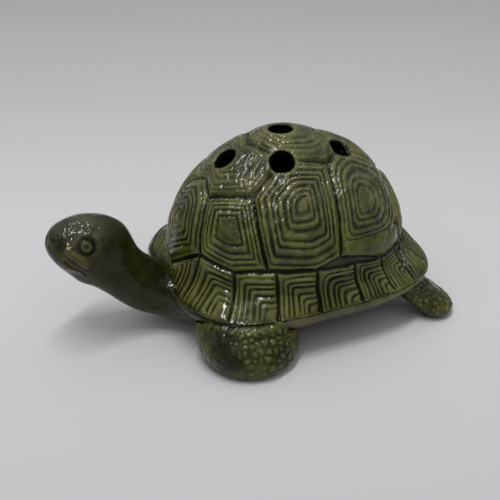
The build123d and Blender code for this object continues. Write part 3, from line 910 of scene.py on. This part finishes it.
# Glaze colours from a pool to a crest, with their places on the ramp; painted shade and painted highlights
# take these colours too
SHELL_TONES = [(0.15, (0.003, 0.005, 0.001)), (0.40, (0.017, 0.021, 0.003)),
               (0.58, (0.052, 0.059, 0.010)), (0.88, (0.115, 0.119, 0.028))]
BODY_TONES = [(0.10, (0.003, 0.004, 0.001)), (0.50, (0.0190, 0.0215, 0.0060)),
              (0.75, (0.042, 0.042, 0.012)), (0.95, (0.062, 0.060, 0.018))]
LIMB_TONES = [(0.12, (0.003, 0.005, 0.001)), (0.42, (0.018, 0.022, 0.003)),
              (0.62, (0.056, 0.063, 0.011)), (0.92, (0.112, 0.118, 0.028))]

# Brownish stain that multiplies the glaze colours in patches
STAIN = (1.06, 0.93, 0.9, 1)

# Specular level of the glaze on a crest, and what a full ripple adds to it
SHELL_SHINE = 0.30
HEAD_SHINE = 0.19
LEG_SHINE = 0.20
RIPPLE_SHINE = 0.22

# Ripples of the glaze: the way that it has run down the front of the crown, how much longer they are
# that way, how much the narrow ones count beside the wide ones, and their height in metres
RUN_AZIMUTH, RUN_ELEVATION = RUN_PLACE
RUN_DIRECTION = Vector(direction(RUN_AZIMUTH, RUN_ELEVATION - 90))
RIPPLE_LENGTH = 2.0
NARROW_RIPPLE_SHARE = 0.42
RIPPLE_HEIGHT = 0.0016


def glaze_colour(tree, place, glaze_and_painted_light, tones):
    """Colour of the glaze: dark in pools and under painted shade, olive on crests and painted highlights,
    cloudy and stained.
    """
    cloud = node(tree, "ShaderNodeTexNoise", Scale=90.0, Detail=4.0, Roughness=0.6)
    tree.links.new(place, cloud.inputs["Vector"])
    spread = node(tree, "ShaderNodeMapRange", From_Min=0.3, From_Max=0.7, To_Min=-0.20, To_Max=0.20)
    tree.links.new(cloud.outputs["Fac"], spread.inputs["Value"])
    add = tree.nodes.new("ShaderNodeMath")
    add.operation = "ADD"
    tree.links.new(glaze_and_painted_light, add.inputs[0])
    tree.links.new(spread.outputs["Result"], add.inputs[1])
    colours = ramp(tree, tones)
    tree.links.new(add.outputs["Value"], colours.inputs["Fac"])
    patches = node(tree, "ShaderNodeTexNoise", Scale=34.0, Detail=2.0)
    tree.links.new(place, patches.inputs["Vector"])
    warm = node(tree, "ShaderNodeMapRange", From_Min=0.42, From_Max=0.68, To_Min=0.0, To_Max=0.9)
    tree.links.new(patches.outputs["Fac"], warm.inputs["Value"])
    tinted = node(tree, "ShaderNodeMixRGB", Color2=STAIN)
    tinted.blend_type = "MULTIPLY"
    tree.links.new(warm.outputs["Result"], tinted.inputs["Fac"])
    tree.links.new(colours.outputs["Color"], tinted.inputs["Color1"])
    return tinted.outputs["Color"]


def glaze_roughness(tree, place):
    """Roughness of the glaze, in fine specks."""
    speck = node(tree, "ShaderNodeTexNoise", Scale=420.0, Detail=3.0, Roughness=0.55)
    tree.links.new(place, speck.inputs["Vector"])
    rough = node(tree, "ShaderNodeMapRange", From_Min=0.35, From_Max=0.75, To_Min=0.03, To_Max=0.08)
    tree.links.new(speck.outputs["Fac"], rough.inputs["Value"])
    return rough.outputs["Result"]


def glaze_ripples(tree, place, ripple):
    """Long ripples where the glaze has run."""
    run = node(tree, "ShaderNodeMapping", Rotation=RUN_DIRECTION.to_track_quat("X", "Z").to_euler(),
               Scale=(RIPPLE_LENGTH, 1, 1))
    run.vector_type = "TEXTURE"
    tree.links.new(place, run.inputs["Vector"])
    wide = node(tree, "ShaderNodeTexNoise", Scale=300.0, Detail=0.0)
    narrow = node(tree, "ShaderNodeTexNoise", Scale=880.0, Detail=0.0)
    for noise in (wide, narrow):
        tree.links.new(run.outputs["Vector"], noise.inputs["Vector"])
    height = multiply_add(tree, narrow.outputs["Fac"], NARROW_RIPPLE_SHARE, wide.outputs["Fac"])
    bump = node(tree, "ShaderNodeBump", Distance=RIPPLE_HEIGHT)
    tree.links.new(ripple, bump.inputs["Strength"])
    tree.links.new(height, bump.inputs["Height"])
    return bump.outputs["Normal"]


def glaze(name, tones, shine):
    """Dark green glaze: it pools dark in hollows and thins to olive on crests, with painted shade and painted
    highlights in its colour.
    """
    material = bpy.data.materials.new(name)
    material.use_nodes = True
    tree = material.node_tree
    shader = tree.nodes["Principled BSDF"]
    shader.inputs["IOR"].default_value = 1.5
    place = tree.nodes.new("ShaderNodeTexCoord").outputs["Object"]
    glaze_and_painted_light = attribute_node(tree, "glaze_and_painted_light").outputs["Fac"]
    ripple = attribute_node(tree, "ripple").outputs["Fac"]
    sheen = node(tree, "ShaderNodeMapRange", From_Min=0.2, From_Max=0.6, To_Min=0.08, To_Max=shine)
    tree.links.new(glaze_and_painted_light, sheen.inputs["Value"])
    gloss = multiply_add(tree, ripple, RIPPLE_SHINE, sheen.outputs["Result"])
    tree.links.new(gloss, shader.inputs["Specular IOR Level"])
    tree.links.new(glaze_colour(tree, place, glaze_and_painted_light, tones), shader.inputs["Base Color"])
    tree.links.new(glaze_roughness(tree, place), shader.inputs["Roughness"])
    tree.links.new(glaze_ripples(tree, place, ripple), shader.inputs["Normal"])
    return material


def camera():
    """The camera at the photograph's place."""
    data = bpy.data.cameras.new("camera")
    data.lens = CAMERA_LENS
    data.sensor_width = SENSOR_WIDTH
    data.clip_start = CLIP_START
    data.clip_end = CLIP_END
    made = bpy.data.objects.new("camera", data)
    bpy.context.scene.collection.objects.link(made)
    out = Vector(direction(CAMERA_AZIMUTH, CAMERA_ELEVATION))
    made.location = CAMERA_TARGET + out * CAMERA_DISTANCE
    made.rotation_euler = out.to_track_quat("Z", "Y").to_euler()
    bpy.context.scene.camera = made


# Table top: its half width in metres, the stretch along the view over which its painted light runs from
# the far side to the near one, and the painted light's shades
TABLE_REACH = 4
TABLE_FAR = -0.70
TABLE_NEAR = 0.20
TABLE_PAINTED_LIGHT = [(0.15, (0.415, 0.41, 0.415)), (0.45, (0.45, 0.445, 0.452)), (0.68, (0.508, 0.503, 0.515)),
                (0.80, (0.505, 0.50, 0.518)), (1.0, (0.41, 0.405, 0.425))]


def floor():
    """A pale table top with painted light: brightest in a band round the shell, darker far and near."""
    bm = bmesh.new()
    bmesh.ops.create_grid(bm, x_segments=1, y_segments=1, size=TABLE_REACH)
    mesh = bpy.data.meshes.new("table_top")
    bm.to_mesh(mesh)
    bm.free()
    made = bpy.data.objects.new("table_top", mesh)
    bpy.context.scene.collection.objects.link(made)
    material = bpy.data.materials.new("table_top_material")
    material.use_nodes = True
    tree = material.node_tree
    shader = tree.nodes["Principled BSDF"]
    place = tree.nodes.new("ShaderNodeTexCoord")
    reach = tree.nodes.new("ShaderNodeVectorMath")
    reach.operation = "DOT_PRODUCT"
    reach.inputs[1].default_value = direction(CAMERA_AZIMUTH, 0)
    tree.links.new(place.outputs["Object"], reach.inputs[0])
    share = node(tree, "ShaderNodeMapRange", From_Min=TABLE_FAR, From_Max=TABLE_NEAR, To_Min=0.0, To_Max=1.0)
    tree.links.new(reach.outputs["Value"], share.inputs["Value"])
    # Painted light: the table is coloured brightest round the shell and darker towards the far and near sides
    shades = ramp(tree, TABLE_PAINTED_LIGHT)
    tree.links.new(share.outputs["Result"], shades.inputs["Fac"])
    tree.links.new(shades.outputs["Color"], shader.inputs["Base Color"])
    shader.inputs["Roughness"].default_value = 0.7
    shader.inputs["Specular IOR Level"].default_value = 0.2
    mesh.materials.append(material)


# Softbox: its direction from the shell in degrees, its sizes in metres and its power in watts
SOFTBOX_AZIMUTH = 35
SOFTBOX_ELEVATION = 77
SOFTBOX_DISTANCE = 0.9
SOFTBOX_WIDTH = 0.07
SOFTBOX_LENGTH = 0.5
SOFTBOX_POWER = 4.4
SOFTBOX_AIM_HEIGHT = 0.05


def softbox():
    """A long soft lamp aimed at the shell."""
    data = bpy.data.lights.new("softbox", "AREA")
    data.shape = "RECTANGLE"
    data.size = SOFTBOX_WIDTH
    data.size_y = SOFTBOX_LENGTH
    data.energy = SOFTBOX_POWER
    made = bpy.data.objects.new("softbox", data)
    bpy.context.scene.collection.objects.link(made)
    out = Vector(direction(SOFTBOX_AZIMUTH, SOFTBOX_ELEVATION))
    made.location = Vector((0, SHELL_MIDDLE_Y, SOFTBOX_AIM_HEIGHT)) + out * SOFTBOX_DISTANCE
    made.rotation_euler = out.to_track_quat("Z", "Y").to_euler()


# Brightness of the room by height, from the horizon to overhead
ROOM_SHADES = [(place, (level, level, level))
               for place, level in ((0.0, 0.15), (0.35, 0.30), (0.75, 0.88), (1.0, 1.10))]


def surroundings():
    """A pale ceiling that dims towards the horizon."""
    world = bpy.data.worlds.new("room")
    bpy.context.scene.world = world
    world.use_nodes = True
    tree = world.node_tree
    back = tree.nodes["Background"]
    place = tree.nodes.new("ShaderNodeTexCoord")
    split = tree.nodes.new("ShaderNodeSeparateXYZ")
    tree.links.new(place.outputs["Generated"], split.inputs["Vector"])
    shades = ramp(tree, ROOM_SHADES)
    tree.links.new(split.outputs["Z"], shades.inputs["Fac"])
    tree.links.new(shades.outputs["Color"], back.inputs["Color"])
    back.inputs["Strength"].default_value = 1.0


bpy.context.scene.view_settings.view_transform = "Standard"
camera()
floor()
surroundings()
softbox()

shell()
head_and_neck()
belly()
for pair, form in (("front", FRONT_LEG), ("hind", HIND_LEG)):
    for side_name in ("left", "right"):
        leg(f"{pair}_{side_name}_leg", **form)
tail()
